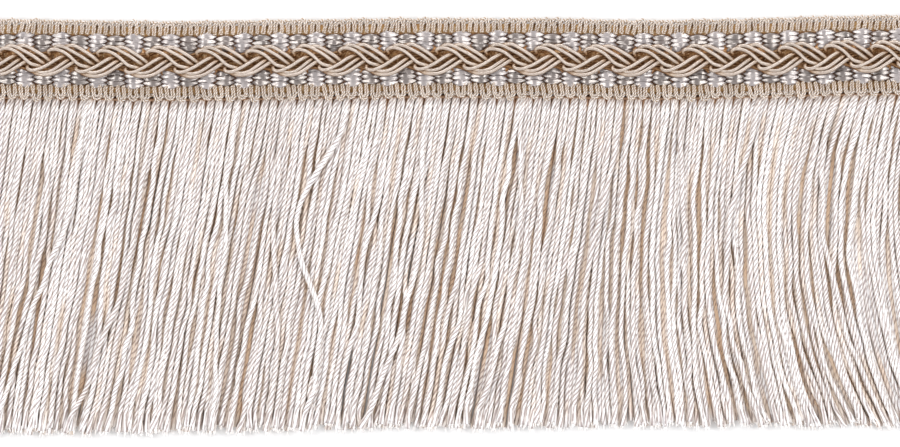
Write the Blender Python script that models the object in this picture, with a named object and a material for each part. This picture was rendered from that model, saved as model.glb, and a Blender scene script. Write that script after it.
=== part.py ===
"""Cut fringe trim, lying flat with its face up.

The origin is in the middle of the heading's back face. +X runs along the trim, +Y points to the
heading's top edge, +Z points out of the face. All sizes are metres.
"""
import bmesh
import bpy
import numpy as np

MM = 0.001
CLEARANCE = 0.3 * MM

# Heading: the woven tape, one weft block after another
REPEAT = 4.55 * MM
REPEATS = 52
HALF_LENGTH = REPEAT * REPEATS / 2
TAPE_HALF_WIDTH = 8.75 * MM
TAPE_THICKNESS = 2.1 * MM
BLOCK_GROOVE = 0.3 * MM

# Edging gimps, lying on the tape: the rows of legs, then the loops along the outer edge
GIMP_PITCH = REPEAT * 2 / 3
GIMP_THICKNESS = 0.8 * MM
GIMP_HOLLOW = 0.3 * MM
GIMP_COLUMNS = ("name", "inner", "between_loops", "loop_tip")
GIMP_ROWS = (
    ("top_gimp", 7.0, 9.25, 10.1),
    ("bottom_gimp", -6.5, -9.1, -10.25),
)

# Plait: three strands of three cords, on the middle of the tape
PLAIT_WAVE = 36.2 * MM
PLAIT_FIRST_CREST = -96.97 * MM
PLAIT_SWING = 2.55 * MM
PLAIT_LIFT = 1.0 * MM
PLAIT_SQUARENESS = 2.2
PLAIT_ROLL = 0.2
PLAIT_STRANDS = 3
PLAIT_RINGS_PER_WAVE = 12
RIBBON_HALF_WIDTH = 1.1 * MM
RIBBON_THICKNESS = 0.95 * MM
CORD_SPACING = 0.72 * MM
CORD_VALLEY = 0.22 * MM

# Skirt: a root strip and two rows of cords, each row one cord's height above the next
STRIP_REAR = -TAPE_HALF_WIDTH - CLEARANCE
STRIP_FRONT = -10.5 * MM
CORD_WIDTH = 1.05 * MM
CORD_CROWN = 0.6
CORD_HEIGHT = 0.95 * MM
ROW_RISE = 1.12 * MM
CORD_GAP = 0.2 * MM
GROUPS = REPEATS - 1
STRIP_HALF_LENGTH = HALF_LENGTH - REPEAT / 2
TIP_UNEVENNESS = 0.4 * MM
SEED = 7
ROW_COLUMNS = ("row", "cords_in_group", "spacing", "levels", "scatter")
SKIRT_ROWS = (
    ("back", 2, 2.275, (0, 0.36, 0.68, 1), (0, 0.45, 0.65, 0.8)),
    ("front", 3, 1.38, (0, 0.08, 0.36, 0.68, 1), (0, 0.05, 0.4, 0.6, 0.8)),
)

# How the trim lies, in millimetres at places along it: the heading's bow, how far the plait's
# crossings have slipped, the cords' sideways sway a third, two thirds and all the way down, and
# the height of their cut ends
LIE_COLUMNS = ("x", "bow", "slip", "sway_third", "sway_two_thirds", "sway_end", "tip")
LIE_ROWS = (
    (-118.3, 0.00, 0.0, -4.2, -8.2, -12.3, -92.9),
    (-100.0, -0.18, 0.0, -4.2, -8.2, -12.3, -92.9),
    (-75.0, -0.62, 0.5, -4.4, -8.9, -13.3, -92.8),
    (-50.0, -0.35, 1.1, -4.6, -9.3, -13.9, -92.5),
    (-25.0, 0.00, 0.2, -4.6, -9.3, -13.9, -92.0),
    (0.0, 0.17, 0.4, -4.4, -8.8, -13.2, -91.5),
    (25.0, 0.08, 1.1, -3.8, -7.6, -11.8, -91.5),
    (50.0, -0.30, 1.5, -2.2, -3.4, -1.5, -91.1),
    (75.0, 0.12, 1.6, -3.4, -2.5, 3.0, -91.0),
    (100.0, 0.73, 0.5, -6.5, -4.5, 5.5, -91.0),
    (118.3, 0.90, 0.0, -2.5, -1.5, 4.5, -91.0),
)

# Front cords that stray over the others: which group, which of its cords, and how far each is
# carried from its own lie at the three lower levels, in millimetres
STRAY_COLUMNS = ("group", "cord", "at_third", "at_two_thirds", "at_end")
STRAY_ROWS = (
    (5, 1, -0.8, -7.5, -12.0),
    (9, 0, -0.5, -2.5, -9.5),
    (13, 2, 1.5, 3.5, 6.0),
    (16, 1, 2.0, 8.0, 10.5),
    (19, 2, -8.0, 1.5, 2.5),
    (24, 0, 2.5, 1.0, -4.0),
    (29, 1, 3.7, 5.0, 2.0),
    (34, 2, -3.0, -6.0, -8.0),
    (38, 0, 3.0, 4.5, 2.5),
    (42, 1, -4.0, -5.5, -3.0),
    (46, 2, 2.0, 5.0, 7.0),
)

FINISH_COLUMNS = ("slot", "colour", "roughness")
FINISH_ROWS = (
    ("weft", (0.50, 0.46, 0.45), 0.35),
    ("gimp", (0.42, 0.34, 0.26), 0.60),
    ("plait", (0.47, 0.37, 0.29), 0.40),
    ("cream", (0.82, 0.74, 0.68), 0.55),
)


def table(columns, rows):
    """The rows of a table as one array for each named column."""
    return dict(zip(columns, (np.array(column) for column in zip(*rows))))


LIE = {name: column * MM for name, column in table(LIE_COLUMNS, LIE_ROWS).items()}


def lie(column, x):
    """One column of the lie table at x, on a smooth curve through its rows."""
    places, values = LIE["x"], LIE[column]
    slopes = np.gradient(values, places)
    i = np.clip(np.searchsorted(places, x) - 1, 0, len(places) - 2)
    span = places[i + 1] - places[i]
    t = (x - places[i]) / span
    start, end = values[i], values[i + 1]
    start_slope, end_slope = slopes[i] * span, slopes[i + 1] * span
    return (start * (2 * t**3 - 3 * t**2 + 1) + start_slope * (t**3 - 2 * t**2 + t)
            + end * (3 * t**2 - 2 * t**3) + end_slope * (t**3 - t**2))


def sway(x, t):
    """Sideways sway of a cord rooted at x, a share t of the way down: a cubic through the
    root and the three sways of the lie table."""
    third = 13.5 * t * (t - 2 / 3) * (t - 1)
    two_thirds = -13.5 * t * (t - 1 / 3) * (t - 1)
    end = 4.5 * t * (t - 1 / 3) * (t - 2 / 3)
    return (lie("sway_third", x) * third + lie("sway_two_thirds", x) * two_thirds
            + lie("sway_end", x) * end)


def finish(slot):
    """The Principled material of one slot, made once."""
    material = bpy.data.materials.get(slot)
    if material is None:
        row = next(row for row in FINISH_ROWS if row[0] == slot)
        material = bpy.data.materials.new(slot)
        material.use_nodes = True
        shader = material.node_tree.nodes["Principled BSDF"]
        shader.inputs["Base Color"].default_value = (*row[1], 1)
        shader.inputs["Roughness"].default_value = row[2]
        shader.inputs["Metallic"].default_value = 0
    return material


def add_object(name, bm, slot):
    """Turn a closed bmesh into a named object with its faces pointing out."""
    bmesh.ops.recalc_face_normals(bm, faces=bm.faces)
    mesh = bpy.data.meshes.new(name)
    bm.to_mesh(mesh)
    bm.free()
    mesh.materials.append(finish(slot))
    bpy.context.collection.objects.link(bpy.data.objects.new(name, mesh))


def tube(bm, rings):
    """Skin a run of rings of the same number of points. Returns the first and last ring."""
    rings = [[bm.verts.new(point) for point in ring] for ring in rings]
    for ring, following in zip(rings, rings[1:]):
        for k in range(len(ring)):
            bm.faces.new((ring[k - 1], ring[k], following[k], following[k - 1]))
    return rings[0], rings[-1]


def add_lofted(name, rings, slot):
    """A solid skinned over rings, with flat ends."""
    bm = bmesh.new()
    for end in tube(bm, rings):
        bm.faces.new(end)
    add_object(name, bm, slot)


def sections(x, outline):
    """Rings across the trim: outline holds one (y, z) pair of arrays for each point, measured
    from the heading's bowed middle line."""
    return np.stack([np.stack([x, y + lie("bow", x), z + 0 * x], axis=-1) for y, z in outline],
                    axis=1)


def add_heading_tape():
    """The woven band, with a shallow groove between one weft block and the next."""
    halves = np.arange(2 * REPEATS + 1)
    x = (halves - REPEATS) * REPEAT / 2
    face = TAPE_THICKNESS - BLOCK_GROOVE * (halves % 2 == 0)
    edge = TAPE_HALF_WIDTH + 0 * x
    add_lofted("heading_tape", sections(x, ((-edge, 0), (edge, 0), (edge, face), (-edge, face))),
               "weft")


def add_gimp(name, inner, between_loops, loop_tip):
    """An edging gimp: a ribbed band whose outer edge runs in small loops."""
    loops = round(2 * HALF_LENGTH / GIMP_PITCH)
    steps = np.arange(2 * loops + 1)
    x = steps * GIMP_PITCH / 2 - HALF_LENGTH
    crest = steps % 2
    outer = np.where(crest, loop_tip, between_loops) * MM
    inner = inner * MM + 0 * x
    back = TAPE_THICKNESS + CLEARANCE
    face = back + GIMP_THICKNESS - GIMP_HOLLOW * (1 - crest)
    add_lofted(name, sections(x, ((inner, back), (outer, back), (outer, face), (inner, face))),
               "gimp")


def plait_ribbon(strand, x):
    """Rings of one plait strand: a flat ribbon with three ridges, one for each cord.

    With the phase p, the ribbon swings by PLAIT_SWING sin(p) across the heading. It rises and
    dips as sin(2p), squared off, so it lies over from each edge to the middle. It rolls as
    cos(p) cubed, so in the middle the side next to the strand that passes below is the higher.
    """
    phase = (2 * np.pi * (x - lie("slip", x) - PLAIT_FIRST_CREST) / PLAIT_WAVE + np.pi / 2
             + 2 * np.pi * strand / PLAIT_STRANDS)
    middle = PLAIT_SWING * np.sin(phase) + lie("bow", x)
    rolled_edge = PLAIT_ROLL * RIBBON_HALF_WIDTH / 2
    seat = TAPE_THICKNESS + CLEARANCE + PLAIT_LIFT + RIBBON_THICKNESS / 2 + rolled_edge
    height = seat - PLAIT_LIFT * np.tanh(PLAIT_SQUARENESS * np.sin(2 * phase)) / np.tanh(
        PLAIT_SQUARENESS)
    roll = -PLAIT_ROLL * np.cos(phase) ** 3
    slope = np.arctan(2 * np.pi / PLAIT_WAVE * PLAIT_SWING * np.cos(phase))
    half = RIBBON_THICKNESS / 2
    valley = half - CORD_VALLEY
    points = [(-RIBBON_HALF_WIDTH, -half), (RIBBON_HALF_WIDTH, -half),
              (RIBBON_HALF_WIDTH, valley), (CORD_SPACING, half), (CORD_SPACING / 2, valley),
              (0, half), (-CORD_SPACING / 2, valley), (-CORD_SPACING, half),
              (-RIBBON_HALF_WIDTH, valley)]
    rings = [np.stack([x - across * np.sin(slope), middle + across * np.cos(slope),
                       height + up + across * roll], axis=-1) for across, up in points]
    return np.stack(rings, axis=1)


def add_plait():
    """Three ribbons a third of a wave apart, each over, then under, its neighbours."""
    rings = round(2 * HALF_LENGTH / PLAIT_WAVE * PLAIT_RINGS_PER_WAVE)
    inset = RIBBON_HALF_WIDTH
    x = np.linspace(-HALF_LENGTH + inset, HALF_LENGTH - inset, rings + 1)
    for strand in range(PLAIT_STRANDS):
        add_lofted(f"plait_strand_{strand + 1}", plait_ribbon(strand, x), "plait")


def spread_apart(x, least):
    """The places nearest to x, in the same order, that are at least this far apart: crowded
    cords are pooled, and each pool lies about the mean of its cords' places."""
    steps = least * np.arange(len(x))
    means, counts = [], []
    for place in x - steps:
        means.append(place)
        counts.append(1)
        while len(means) > 1 and means[-2] > means[-1]:
            mean, count = means.pop(), counts.pop()
            means[-1] = (means[-1] * counts[-1] + mean * count) / (counts[-1] + count)
            counts[-1] += count
    return np.repeat(means, counts) + steps


def skirt_row(row, scatter_source):
    """Roots, then places (x, y, base height) of one row's cords at each of its levels."""
    name, in_group, spacing, levels, scatter = row
    centres = (np.arange(GROUPS) - (GROUPS - 1) / 2) * REPEAT
    within = (np.arange(in_group) - (in_group - 1) / 2) * spacing * MM
    root = (centres[:, None] + within).ravel()
    low = 0 if name == "back" else ROW_RISE
    least = CORD_WIDTH + CORD_GAP
    tip = lie("tip", root) + TIP_UNEVENNESS * scatter_source.uniform(-1, 1, len(root))
    stray = np.zeros(len(root), bool)
    carried = np.zeros((len(root), len(levels)))
    if name == "front":
        strays = table(STRAY_COLUMNS, STRAY_ROWS)
        index = strays["group"] * in_group + strays["cord"]
        stray[index.astype(int)] = True
        carried[stray, 2:] = np.array(STRAY_ROWS)[:, 2:] * MM
    places = []
    for level, share in enumerate(levels):
        x = root + sway(root, share)
        x += scatter[level] * MM * scatter_source.standard_normal(len(root))
        beneath = ~stray if share > levels[1] else np.ones(len(root), bool)
        x[beneath] = spread_apart(np.sort(x[beneath]), least)
        x += np.where(beneath, 0, carried[:, level])
        y = (STRIP_FRONT + lie("bow", root)) * (1 - share) + tip * share
        places.append(np.stack([x, y, low + ROW_RISE * (stray & (share > 0))], axis=-1))
    return np.stack(places)


def cord_section(place):
    """The four corners of a cord at one place: wider at its base than at its crown."""
    x, y, z = place
    half = CORD_WIDTH / 2
    return ((x - half, y, z), (x + half, y, z), (x + half * CORD_CROWN, y, z + CORD_HEIGHT),
            (x - half * CORD_CROWN, y, z + CORD_HEIGHT))


def zip_lines(bm, one, other):
    """Fill between two lines of points with triangles, in step along x."""
    i = j = 0
    while i + j < len(one) + len(other) - 2:
        next_one = one[i + 1].co.x if i + 1 < len(one) else np.inf
        next_other = other[j + 1].co.x if j + 1 < len(other) else np.inf
        if next_one < next_other:
            bm.faces.new((one[i], one[i + 1], other[j]))
            i += 1
        else:
            bm.faces.new((one[i], other[j + 1], other[j]))
            j += 1


def strip_ends(bm, y, z):
    """The two end points of a lengthwise line of the root strip."""
    return [bm.verts.new((x, y + lie("bow", x), z))
            for x in (-STRIP_HALF_LENGTH, STRIP_HALF_LENGTH)]


def add_cut_fringe():
    """The skirt: cords grown out of the front of a narrow root strip, in two rows.

    The strip's front is built line by line, from its bottom up: each row's cord bases, then its
    crowns. Between two cords of a row the front is one face, and between the rows it is zipped.
    """
    bm = bmesh.new()
    scatter_source = np.random.default_rng(SEED)
    lines = []
    for row in SKIRT_ROWS:
        places = skirt_row(row, scatter_source)
        base, crown = [], []
        for cord in range(places.shape[1]):
            root, tip = tube(bm, [cord_section(place) for place in places[:, cord]])
            bm.faces.new(tip)
            base += [root[0], root[1]]
            crown += [root[3], root[2]]
        height = places[0, 0, 2]
        for line, z in ((base, height), (crown, height + CORD_HEIGHT)):
            start, end = strip_ends(bm, STRIP_FRONT, z)
            lines.append([start, *line, end])
        for k in range(0, len(lines[-1]), 2):
            bm.faces.new((lines[-2][k], lines[-2][k + 1], lines[-1][k + 1], lines[-1][k]))
    zip_lines(bm, lines[1], lines[2])
    rear = []
    for z in (0, ROW_RISE + CORD_HEIGHT):
        x = np.linspace(-STRIP_HALF_LENGTH, STRIP_HALF_LENGTH, REPEATS)
        y = STRIP_REAR + lie("bow", x)
        rear.append([bm.verts.new((*place, z)) for place in zip(x, y)])
    zip_lines(bm, lines[0], rear[0])
    zip_lines(bm, lines[3], rear[1])
    for k in range(len(rear[0]) - 1):
        bm.faces.new((rear[0][k], rear[0][k + 1], rear[1][k + 1], rear[1][k]))
    for end in (0, -1):
        bm.faces.new([line[end] for line in (*lines, rear[1], rear[0])])
    add_object("cut_fringe", bm, "cream")


def main():
    for thing in list(bpy.data.objects):
        bpy.data.objects.remove(thing)
    add_heading_tape()
    for row in GIMP_ROWS:
        add_gimp(*row)
    add_plait()
    add_cut_fringe()


main()
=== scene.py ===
"""Looks of the cut fringe trim: weft floats, gimps, plait and a skirt of twisted cords, laid
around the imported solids. Metres, in the frame of the solids: +X along the trim, +Y towards the
heading's top edge, +Z out of its face."""

import bpy
import numpy as np
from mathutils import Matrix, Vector


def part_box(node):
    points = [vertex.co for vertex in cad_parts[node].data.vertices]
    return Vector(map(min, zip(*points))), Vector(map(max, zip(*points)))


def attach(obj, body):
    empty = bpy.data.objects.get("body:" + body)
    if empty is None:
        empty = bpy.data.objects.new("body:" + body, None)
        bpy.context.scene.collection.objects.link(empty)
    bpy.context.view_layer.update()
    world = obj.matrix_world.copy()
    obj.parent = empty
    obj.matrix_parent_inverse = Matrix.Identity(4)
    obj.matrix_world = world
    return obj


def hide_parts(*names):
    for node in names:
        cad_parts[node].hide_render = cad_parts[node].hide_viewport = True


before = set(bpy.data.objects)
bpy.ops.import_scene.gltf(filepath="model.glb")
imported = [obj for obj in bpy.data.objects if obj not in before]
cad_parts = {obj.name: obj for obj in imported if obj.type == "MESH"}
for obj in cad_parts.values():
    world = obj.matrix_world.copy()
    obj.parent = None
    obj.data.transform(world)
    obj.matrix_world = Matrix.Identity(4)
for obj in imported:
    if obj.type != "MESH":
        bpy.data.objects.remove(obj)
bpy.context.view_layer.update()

MM = 0.001
tape_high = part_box("heading_tape")[1]

# Heading
REPEATS = 52
HALF_LENGTH = tape_high[0]
REPEAT = 2 * HALF_LENGTH / REPEATS
FACE = tape_high[2]
TAPE_HALF_WIDTH = 8.75 * MM
TAPE_RINGS = 2 * REPEATS
TAPE_SECTION = (
    (8.75, 0.10), (8.75, 1.75), (6.6, 1.75), (4.0, 1.75), (3.4, 2.0), (1.7, 2.35), (0.0, 2.45),
    (-1.7, 2.35), (-3.4, 2.0), (-4.0, 1.75), (-6.6, 1.75), (-8.75, 1.75), (-8.75, 0.10),
    (-4.0, 0.10), (0.0, 0.10), (4.0, 0.10),
)

# Weft floats, in rows: two fields between the gimps and the plait. Each field has the place of its
# first row, in millimetres, and by how many rows every second block is shifted
FLOAT_FIELDS = ((6.05, -0.5), (-2.60, 0.5))
FLOAT_ROWS = 4
FLOAT_ROW = 1.15 * MM
FLOAT_HALF_WIDTH = 0.76 * FLOAT_ROW
FLOAT_NARROWS = 0.96
FLOAT_THICKNESS = 0.11 * MM
FLOAT_OVERLAP = 0.20 * MM
FLOAT_DEPTH = 0.20 * MM
FLOAT_SLOPE = 0.46
FLOAT_SINK = 1.1 * MM
FLOAT_SHIFT = 0.05 * MM
FLOAT_TILT = 0.07 * MM
FLOAT_FLATS = (0.12, 0.50)
FLOAT_MIDDLES = (-0.25, 0.25)
FLOAT_GIRTHS = (0.92, 1.08)
FLOAT_END = 0.985
FLOAT_RINGS = 13
FLOAT_SIDES = 8

# Gimps: loops of thin two-ply crepe cord over one thicker cord, the chain. Each gimp has its name
# and, in millimetres, where its feet, shoulders, tips and chain lie and how deep its notches are
GIMP_ROWS = (
    ("top_gimp", 6.9, 8.6, 9.75, 9.4, 0.0),
    ("bottom_gimp", -6.5, -8.5, -9.85, -8.95, 0.5),
)
ARCH_PITCH = REPEAT * 2 / 3
ARCH_PHASE = 0.48 * MM
ARCH_HALF = ARCH_PITCH / 4
ARCH_WIDTHS = (0.93, 1.07)
ARCH_REACHES = (0.65, 1.22)
ARCH_TILT = 0.10 * MM
ARCH_LEAN = 0.30 * MM
LOOP_HALF = 0.28 * MM
LOOP_LOW = 1.1
LOOP_RISE = 0.8
CREPE_RADIUS = 0.30 * MM
CREPE_LAY = 1.3 * MM
CREPE_STEP = 0.19 * MM
CREPE_OUTLINE = (1, 0.76, 0.76, 1, 0.76, 0.76)
# The crowns and GIMP_DEPTH set the crepe's painted shade, read as depth below the crown
CREPE_CROWN = FACE + 2.9 * CREPE_RADIUS + 0.08 * MM
GIMP_DEPTH = 1 * MM
CRINKLE_STEP = 0.55 * MM
CRINKLE = 0.06 * MM
CHAIN_RADIUS = 0.58 * MM
CHAIN_THINS = 0.8 / MM
CHAIN_WAVE = 0.24 * MM
CHAIN_DEPTH = 0.3 * MM
CHAIN_CROWN = FACE + 0.38 * MM

# Plait: three strands of three satin-wrapped cords. Each cord repeats its own path once in a
# wave: place along the trim and across it, in millimetres, and height, from -1 under to 1 over
PLAIT_WAVE = 36.2 * MM
PLAIT_FIRST_CREST = -96.97 * MM
PLAIT_LEAD = 2.25 * MM
PLAIT_STRANDS = 3
PLAIT_CORD_RADIUS = 0.48 * MM
PLAIT_LIFT = 0.62 * MM
PLAIT_MIDDLE = FACE + 1.55 * MM
PLAIT_STEP = 0.42 * MM
PLAIT_SIDES = 8
# Depth below a cord's crown over which the satin's painted shade runs
PLAIT_DEPTH = 3 * MM
PLAIT_DRIFT = 0.10 * MM
PLAIT_DRIFT_KNOTS = 40
PLAIT_TONES = (0.2, 1)
OUTLINE_STEP = 0.8 * MM
OUTLINE_EASE = 0.5 * MM
PLAIT_PATHS = (
    ((0.0, 2.60, 1.0), (1.3, 2.30, 1.0), (2.6, 1.65, 1.0), (3.9, 0.65, 1.0), (4.9, -0.35, 1.0),
     (5.9, -1.10, 1.0), (7.1, -1.50, 0.9), (8.2, -1.70, 0.4), (9.2, -1.75, -0.6),
     (11.0, -1.60, -1.0), (14.0, -1.30, -1.0), (16.6, -1.20, -0.9), (17.5, -1.40, -0.3),
     (17.1, -2.00, 0.5), (17.5, -2.55, 0.9), (18.3, -2.75, 1.0), (19.3, -2.65, 1.0),
     (20.4, -2.20, 1.0), (21.7, -1.60, 1.0), (23.0, -0.80, 1.0), (24.3, 0.05, 1.0),
     (25.6, 0.70, 0.6), (26.6, 1.00, -0.5), (29.0, 1.10, -1.0), (32.0, 0.90, -1.0),
     (34.2, 0.95, -0.9), (34.9, 1.30, -0.3), (34.4, 1.95, 0.5), (34.9, 2.45, 0.9)),
    ((0.2, 3.25, 0.9), (1.3, 3.40, 1.0), (2.6, 3.05, 1.0), (3.9, 2.40, 1.0), (5.2, 1.70, 1.0),
     (6.5, 0.95, 1.0), (7.7, 0.10, 1.0), (8.8, -0.65, 0.6), (9.8, -1.20, -0.5),
     (12.0, -1.60, -1.0), (15.0, -1.80, -1.0), (17.5, -2.10, -0.9), (19.0, -2.60, 0.0),
     (20.2, -3.00, 0.8), (21.7, -3.10, 1.0), (23.0, -2.75, 1.0), (24.3, -2.00, 1.0),
     (25.6, -1.10, 1.0), (26.8, -0.30, 0.6), (27.8, 0.25, -0.5), (30.0, 0.90, -1.0),
     (33.0, 1.35, -1.0), (34.8, 2.00, -0.5), (35.6, 2.70, 0.3)),
    ((3.0, 3.30, 0.6), (4.4, 3.45, 1.0), (5.8, 2.90, 1.0), (7.1, 2.15, 1.0), (8.4, 1.35, 1.0),
     (9.6, 0.50, 0.9), (10.5, -0.25, 0.4), (11.4, -0.90, -0.6), (13.5, -1.60, -1.0),
     (16.0, -2.10, -1.0), (18.0, -2.85, -0.6), (19.3, -3.50, 0.4), (21.0, -3.85, 0.9),
     (22.4, -3.80, 1.0), (23.8, -3.45, 1.0), (25.0, -2.85, 1.0), (26.2, -2.10, 1.0),
     (27.5, -1.25, 1.0), (28.7, -0.50, 0.5), (29.7, 0.05, -0.5), (32.0, 0.80, -1.0),
     (34.5, 1.60, -1.0), (36.6, 2.60, -0.9), (38.2, 3.10, -0.3)),
)

# Skirt. Each row of cords has its name, where its cords lie in a group, their spacing and the
# least distance of two cords in millimetres, how much they wander, how many levels there are to a
# ring, and the sides of a ring
SKIRT_ROWS = (
    ("back", (-1.5, -0.5, 0.5, 1.5), 1.1375, 0.90, 0.25, 3, 6),
    ("middle", (-1.5, 1.5), 0.83, 1.18, 1.0, 1, 8),
    ("top", (-0.5, 0.5), 1.14, 1.30, 1.5, 1, 8),
)
GROUPS = REPEATS - 1
SKIRT_LEVELS = 133
SEED = 11

# Skirt cords: shape. Places along a cord are shares of its length, from the root at 0
CORD_RADIUS = 0.72 * MM
CORD_GIRTHS = (0.95, 1.05)
GIRTH_UNEVENNESS = 0.04
ROUND_GIRTH = 0.93
PLIES = 4
PLY_GROOVE = 0.74
CORD_LAY = 7.1 * MM
LAY_SHARES = (0.82, 1.12)
TWIST_UNEVENNESS = 0.11
TWIST_KNOTS = 16
OPEN_LENGTH = 4.5 * MM
OPEN_PLIES = 0.75
ROOT_SQUEEZE = 0.13
SQUEEZED_TO = 0.25
TIP_FLARE = 0.20
FLARED_FROM = 0.96

# Skirt cords: places
ROOT_Y = -8.9 * MM
TIP_UNEVENNESS = 1.0 * MM
CONTACT = 1.66 * CORD_RADIUS
PRESSED = 0.50
PRESSED_TO = 0.06
WIDE_MEAN = 7
NARROW_MEAN = 5
EVEN_SPACING = REPEAT / 4
SPREAD_BY = 0.04
UNEVEN_SPACING = 0.22 * MM
UNEVEN_BY = 0.3
STRAY_SPACING = 1.36 * MM
FANNED_OUT = 28 * MM
WANDER_KNOTS = np.array([0, 0.12, 0.3, 0.5, 0.7, 0.88, 1.0])
WANDER_STEPS = np.array([0, 0.15, 0.45, 0.55, 0.55, 0.50, 0.40]) * MM
WIGGLE = 0.32 * MM
WIGGLE_KNOTS = 17
WIGGLE_BY = 0.12

# Skirt cords: painted shade. The yarn is painted tan, then brown, the deeper a place lies in the
# pile, and darker in the grooves of its plies, less so on paler cords and deeper places. The roots
# get more painted shade under the gimp, the back row's roots more still, and the cut ends less.
PILE_DEPTH = 6 * MM
PALE_BY_PLY = 0.4
PALE_BY_CORD = 0.14
PALE_BY_DEPTH = 0.085 / MM
VALLEY_REACH = 2.0 * MM
ROOT_SHADE = 1.6 * MM
ROOT_SHADED_TO = 0.02
BACK_ROOT_SHADE = 5.0 * MM
BACK_ROOT_SHADED_TO = 0.06
TIP_BARED = 0.6
TIP_BARED_FROM = 0.93

# The bar that holds the roots, painted brown all over as shade by its high crown, and the
# filaments of the cut ends
ROOT_BAR_Y = -9.55 * MM
ROOT_BAR_Z = 0.60 * MM
ROOT_BAR_HALF_WIDTH = 0.42 * MM
ROOT_BAR_HALF_HEIGHT = 0.98 * MM
ROOT_BAR_CROWN = 6.8 * MM
ROOT_BAR_SIDES = 12
FILAMENT_COUNTS = (("back", 2), ("middle", 4), ("top", 4), ("stray", 4))
FILAMENT_REACHES = (0.3, 0.85)
FILAMENT_LENGTHS = (1.0, 1.9)
FILAMENT_FLARES = (0.0, 0.5)
FILAMENT_START = 0.7 * MM
FILAMENT_RADIUS = 0.20 * MM
FILAMENT_TAPER = 0.5
FILAMENT_RINGS = 4
FILAMENT_SIDES = 4
END_LEVELS = 5

# How the trim lies, in millimetres, as in the solids
LIE_COLUMNS = ("x", "bow", "slip", "sway_third", "sway_two_thirds", "sway_end", "tip")
LIE_ROWS = (
    (-118.3, 0.00, 0.0, -4.2, -8.2, -12.3, -92.9),
    (-100.0, -0.18, 0.0, -4.2, -8.2, -12.3, -92.9),
    (-75.0, -0.62, 0.5, -4.4, -8.9, -13.3, -92.8),
    (-50.0, -0.35, 1.1, -4.6, -9.3, -13.9, -92.5),
    (-25.0, 0.00, 0.2, -4.6, -9.3, -13.9, -92.0),
    (0.0, 0.17, 0.4, -4.4, -8.8, -13.2, -91.5),
    (25.0, 0.08, 1.1, -3.8, -7.6, -11.8, -91.5),
    (50.0, -0.30, 1.5, -2.2, -3.4, -1.5, -91.1),
    (75.0, 0.12, 1.6, -3.4, -2.5, 3.0, -91.0),
    (100.0, 0.73, 0.5, -6.5, -4.5, 5.5, -91.0),
    (118.3, 0.90, 0.0, -2.5, -1.5, 4.5, -91.0),
)

# Front cords that stray over the others, as in the solids: group, cord of the group, and how far
# it is carried from its own lie at three levels, in millimetres
STRAY_LEVELS = np.array([0, 0.08, 0.36, 0.68, 1.0])
STRAY_COLUMNS = ("group", "cord", "at_third", "at_two_thirds", "at_end")
STRAY_ROWS = (
    (5, 1, -0.8, -7.5, -12.0),
    (9, 0, -0.5, -2.5, -9.5),
    (13, 2, 1.5, 3.5, 6.0),
    (16, 1, 2.0, 8.0, 10.5),
    (19, 2, -8.0, 1.5, 2.5),
    (24, 0, 2.5, 1.0, -4.0),
    (29, 1, 3.7, 5.0, 2.0),
    (34, 2, -3.0, -6.0, -8.0),
    (38, 0, 3.0, 4.5, 2.5),
    (42, 1, -4.0, -5.5, -3.0),
    (46, 2, 2.0, 5.0, 7.0),
)

# Studio: each light has its name, place and size in metres, and power in watts
FLOOR_HALF = 3.0
FLOOR_DROP = 0.1 * MM
FLOOR_GREY = 0.72
WORLD_COLOUR = (0.96, 0.97, 1.0, 1)
WORLD_STRENGTH = 0.78
LIGHT_AIM = (0, -0.04, 0)
LIGHTS = (
    ("left_light", (-1.0, 0.0, 1.1), 0.6, 8.3),
    ("right_light", (1.0, 0.0, 1.1), 0.6, 8.3),
    ("far_light", (0.0, 1.3, 0.65), 0.8, 16.4),
    ("near_light", (0.0, -1.3, 0.95), 0.8, 7.7),
)

# Camera: what it frames and at what height, its own height in metres, its sensor in millimetres
FRAME_WIDTH = 225 * MM
FRAME_MIDDLE = (-0.65 * MM, -41.1 * MM)
FRAMED_HEIGHT = 2 * MM
EYE_HEIGHT = 1.6
EYE_REACH = 20
SENSOR = 36.0


def table(columns, rows):
    """The rows of a table as one array for each named column."""
    return dict(zip(columns, (np.array(column) for column in zip(*rows))))


def curve(places, values, at):
    """Smooth curve through values, whose last axis lies at places, read at the places in at:
    cubic Hermite spans with slopes from central differences."""
    slopes = np.gradient(values, places, axis=-1)
    i = np.clip(np.searchsorted(places, at) - 1, 0, len(places) - 2)
    span = places[i + 1] - places[i]
    t = (at - places[i]) / span
    return (values[..., i] * (2 * t**3 - 3 * t**2 + 1)
            + slopes[..., i] * span * (t**3 - 2 * t**2 + t)
            + values[..., i + 1] * (3 * t**2 - 2 * t**3)
            + slopes[..., i + 1] * span * (t**3 - t**2))


LIE = {name: column * MM for name, column in table(LIE_COLUMNS, LIE_ROWS).items()}


def lie(column, x):
    """One column of the lie table at x."""
    return curve(LIE["x"], LIE[column], x)


def sway(x, t):
    """Sideways sway of a cord rooted at x, a share t of the way down: a cubic through the
    root and the three sways of the lie table."""
    third = 13.5 * t * (t - 2 / 3) * (t - 1)
    two_thirds = -13.5 * t * (t - 1 / 3) * (t - 1)
    end = 4.5 * t * (t - 1 / 3) * (t - 2 / 3)
    return (lie("sway_third", x) * third + lie("sway_two_thirds", x) * two_thirds
            + lie("sway_end", x) * end)


def ease(t):
    """Smooth step from 0 to 1: 3t^2 - 2t^3, held outside."""
    t = np.clip(t, 0, 1)
    return t * t * (3 - 2 * t)


def unit(vectors):
    """Vectors of length one, along the last axis."""
    return vectors / np.linalg.norm(vectors, axis=-1, keepdims=True)


def lengths_along(paths):
    """Length from the first ring to each ring of each path."""
    step = np.linalg.norm(np.diff(paths, axis=1), axis=-1)
    return np.concatenate([np.zeros((len(paths), 1)), np.cumsum(step, axis=1)], axis=1)


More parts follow.
